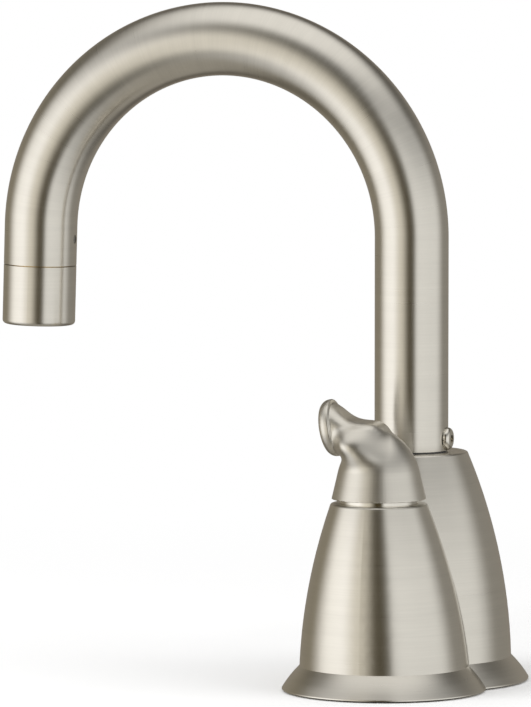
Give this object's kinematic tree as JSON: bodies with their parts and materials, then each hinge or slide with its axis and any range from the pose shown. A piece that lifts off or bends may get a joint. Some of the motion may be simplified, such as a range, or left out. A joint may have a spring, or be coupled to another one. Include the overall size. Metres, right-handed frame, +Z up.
{
  "type": "instant hot water tap",
  "caption": "Instant hot water tap: a tall swivelling gooseneck spout on a bell-shaped base, merged with a smaller bell that carries a turning lever, with stubs and a clamp under the deck.",
  "frame": {"origin": "on the spout column's axis, in the plane where the gasket meets the top of the deck", "axes": "+Z up along the column; the spout points to -Y at rest; the lever's bell stands on the +X side"},
  "size_m": [0.1061, 0.1863, 0.2891],
  "materials": {
    "satin_nickel": "satin nickel",
    "polished_nickel": "polished nickel",
    "brass": "turned brass",
    "steel": "zinc plated",
    "copper": "drawn copper",
    "rubber": "matte",
    "white_plastic": "matte",
    "dark_plastic": "matte",
    "ceramic": "lapped"
  },
  "bodies": {
    "root": {"body_shell": "satin_nickel", "base_gasket": "rubber", "base_plate": "steel", "base_screws": "steel", "valve_manifold": "brass", "manifold_screws": "steel", "spout_post": "brass", "post_o_rings": "rubber", "spout_glide_ring": "dark_plastic", "cartridge_housing": "brass", "ceramic_disc_fixed": "ceramic", "cartridge_seal": "rubber", "bonnet_nut": "brass", "trim_collar": "polished_nickel", "return_spring": "steel", "mounting_stud": "steel", "cold_inlet_stub": "copper", "tank_feed_stub": "copper", "hot_return_stub": "copper"},
    "spout": {"spout_tube": "satin_nickel", "spout_socket": "brass", "spout_liner": "white_plastic", "spout_retaining_screw": "polished_nickel", "outlet_carrier": "brass", "outlet_grub_screw": "steel", "outlet_sleeve": "satin_nickel", "outlet_washer": "rubber", "outlet_screen": "steel", "flow_straightener": "white_plastic"},
    "lever": {"lever_handle": "satin_nickel", "handle_grub_screw": "steel", "cartridge_stem": "brass", "ceramic_disc_turning": "ceramic"},
    "deck_clamp": {"clamp_washer": "rubber", "clamp_bracket": "steel", "mounting_nut": "steel"}
  },
  "joints": [
    {"name": "spout_swivel", "type": "hinge", "parent": "root", "child": "spout", "pos_m": [0, 0, 0.1], "axis": [0, 0, 1], "continuous": true},
    {"name": "lever_turn", "type": "hinge", "parent": "root", "child": "lever", "pos_m": [0.038, 0, 0.07], "axis": [0, 0, 1], "range_deg": [0, 90], "stiffness_Nm_per_rad": 0.06},
    {"name": "clamp_travel", "type": "slide", "parent": "root", "child": "deck_clamp", "axis": [0, 0, -1], "range_m": [-0.014, 0.024]}
  ]
}
